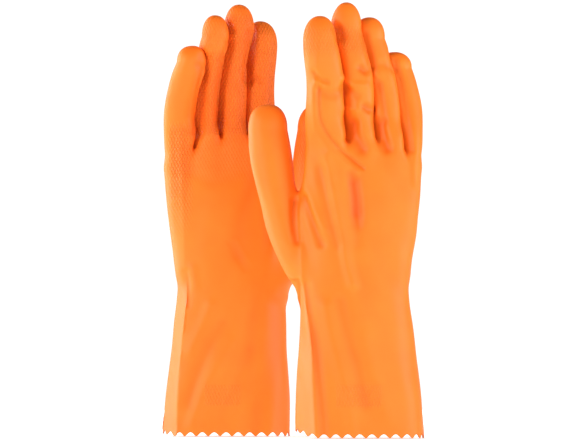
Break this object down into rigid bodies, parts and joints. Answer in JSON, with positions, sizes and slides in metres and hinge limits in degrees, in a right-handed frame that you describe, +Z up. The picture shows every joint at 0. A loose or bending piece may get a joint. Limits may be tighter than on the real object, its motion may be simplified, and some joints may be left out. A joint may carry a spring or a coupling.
{
  "type": "rubber gloves",
  "caption": "Pair of orange latex household gloves with long gauntlet cuffs, pinked rims and a raised grip, standing upright, flock lined, with digits that bend.",
  "frame": {"origin": "On the floor, midway between the two gloves.", "axes": "+Z up along the fingers, -Y towards the viewer, X across the two gloves. The palm_out glove stands at -X and +Y with its palm facing -Y, and the back_out glove stands at +X and -Y with its palm facing +Y."},
  "size_m": [0.1852, 0.158, 0.305],
  "materials": {
    "orange_latex": "soft satin dip-moulded latex",
    "cotton_flock": "fine cotton flock"
  },
  "bodies": {
    "palm_out_glove": {"palm_out_cuff": "orange_latex", "palm_out_cuff_lining": "cotton_flock", "palm_out_hand": "orange_latex", "palm_out_hand_lining": "cotton_flock"},
    "palm_out_thumb_sleeve": {"palm_out_thumb": "orange_latex", "palm_out_thumb_lining": "cotton_flock"},
    "palm_out_index_finger_sleeve": {"palm_out_index_finger": "orange_latex", "palm_out_index_finger_lining": "cotton_flock"},
    "palm_out_middle_finger_sleeve": {"palm_out_middle_finger": "orange_latex", "palm_out_middle_finger_lining": "cotton_flock"},
    "palm_out_ring_finger_sleeve": {"palm_out_ring_finger": "orange_latex", "palm_out_ring_finger_lining": "cotton_flock"},
    "palm_out_little_finger_sleeve": {"palm_out_little_finger": "orange_latex", "palm_out_little_finger_lining": "cotton_flock"},
    "back_out_glove": {"back_out_cuff": "orange_latex", "back_out_cuff_lining": "cotton_flock", "back_out_hand": "orange_latex", "back_out_hand_lining": "cotton_flock"},
    "back_out_thumb_sleeve": {"back_out_thumb": "orange_latex", "back_out_thumb_lining": "cotton_flock"},
    "back_out_index_finger_sleeve": {"back_out_index_finger": "orange_latex", "back_out_index_finger_lining": "cotton_flock"},
    "back_out_middle_finger_sleeve": {"back_out_middle_finger": "orange_latex", "back_out_middle_finger_lining": "cotton_flock"},
    "back_out_ring_finger_sleeve": {"back_out_ring_finger": "orange_latex", "back_out_ring_finger_lining": "cotton_flock"},
    "back_out_little_finger_sleeve": {"back_out_little_finger": "orange_latex", "back_out_little_finger_lining": "cotton_flock"}
  },
  "joints": [
    {"name": "back_out_lift", "type": "slide", "parent": "palm_out_glove", "child": "back_out_glove", "axis": [0, 0, 1], "range_m": [0, 0.25]},
    {"name": "palm_out_thumb_flex", "type": "hinge", "parent": "palm_out_glove", "child": "palm_out_thumb_sleeve", "pos_m": [0.00682, 0.0311, 0.18], "axis": [0.9063, -0.4226, 0], "range_deg": [0, 30], "stiffness_Nm_per_rad": 0.006},
    {"name": "palm_out_index_finger_flex", "type": "hinge", "parent": "palm_out_glove", "child": "palm_out_index_finger_sleeve", "pos_m": [-0.01926, 0.0408, 0.22], "axis": [1, 0, 0], "range_deg": [0, 65], "stiffness_Nm_per_rad": 0.006},
    {"name": "palm_out_middle_finger_flex", "type": "hinge", "parent": "palm_out_glove", "child": "palm_out_middle_finger_sleeve", "pos_m": [-0.04063, 0.04015, 0.22], "axis": [1, 0, 0], "range_deg": [0, 65], "stiffness_Nm_per_rad": 0.006},
    {"name": "palm_out_ring_finger_flex", "type": "hinge", "parent": "palm_out_glove", "child": "palm_out_ring_finger_sleeve", "pos_m": [-0.06126, 0.03928, 0.22], "axis": [1, 0, 0], "range_deg": [0, 65], "stiffness_Nm_per_rad": 0.006},
    {"name": "palm_out_little_finger_flex", "type": "hinge", "parent": "palm_out_glove", "child": "palm_out_little_finger_sleeve", "pos_m": [-0.08112, 0.03809, 0.22], "axis": [1, 0, 0], "range_deg": [0, 65], "stiffness_Nm_per_rad": 0.006},
    {"name": "back_out_thumb_flex", "type": "hinge", "parent": "back_out_glove", "child": "back_out_thumb_sleeve", "pos_m": [-0.00682, -0.0311, 0.18], "axis": [-0.9063, 0.4226, 0], "range_deg": [0, 30], "stiffness_Nm_per_rad": 0.006},
    {"name": "back_out_index_finger_flex", "type": "hinge", "parent": "back_out_glove", "child": "back_out_index_finger_sleeve", "pos_m": [0.01926, -0.0408, 0.22], "axis": [-1, 0, 0], "range_deg": [0, 65], "stiffness_Nm_per_rad": 0.006},
    {"name": "back_out_middle_finger_flex", "type": "hinge", "parent": "back_out_glove", "child": "back_out_middle_finger_sleeve", "pos_m": [0.04063, -0.04015, 0.22], "axis": [-1, 0, 0], "range_deg": [0, 65], "stiffness_Nm_per_rad": 0.006},
    {"name": "back_out_ring_finger_flex", "type": "hinge", "parent": "back_out_glove", "child": "back_out_ring_finger_sleeve", "pos_m": [0.06126, -0.03928, 0.22], "axis": [-1, 0, 0], "range_deg": [0, 65], "stiffness_Nm_per_rad": 0.006},
    {"name": "back_out_little_finger_flex", "type": "hinge", "parent": "back_out_glove", "child": "back_out_little_finger_sleeve", "pos_m": [0.08112, -0.03809, 0.22], "axis": [-1, 0, 0], "range_deg": [0, 65], "stiffness_Nm_per_rad": 0.006}
  ]
}
